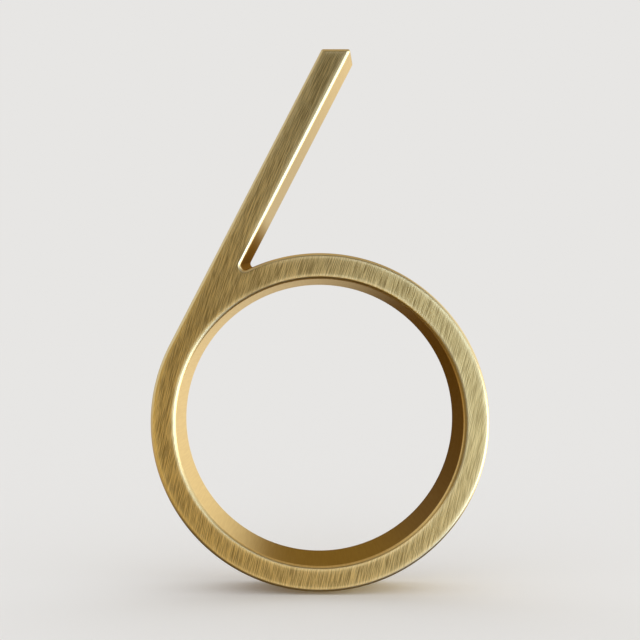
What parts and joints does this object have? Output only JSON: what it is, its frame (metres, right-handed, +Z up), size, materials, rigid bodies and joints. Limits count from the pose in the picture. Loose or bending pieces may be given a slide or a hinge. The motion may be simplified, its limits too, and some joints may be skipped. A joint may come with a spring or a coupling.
{
  "type": "house number",
  "caption": "Slim modern house number in the shape of the figure 6: a drafted ring with a tangent leaning stem, brushed brass face, flat back with threaded stud holes.",
  "frame": {"origin": "on the flat back, midway between the two stud holes, on the plumb line through the ring's centre", "axes": "+Z up as the number hangs on a wall, +X to the right as it is read, the face looks along -Y and the back faces the wall along +Y"},
  "size_m": [0.0798, 0.0127, 0.127],
  "materials": {
    "antique_brass": "brushed antique face with worn edges, smooth satin sides"
  },
  "bodies": {
    "root": {"number_six": "antique_brass"}
  },
  "joints": []
}
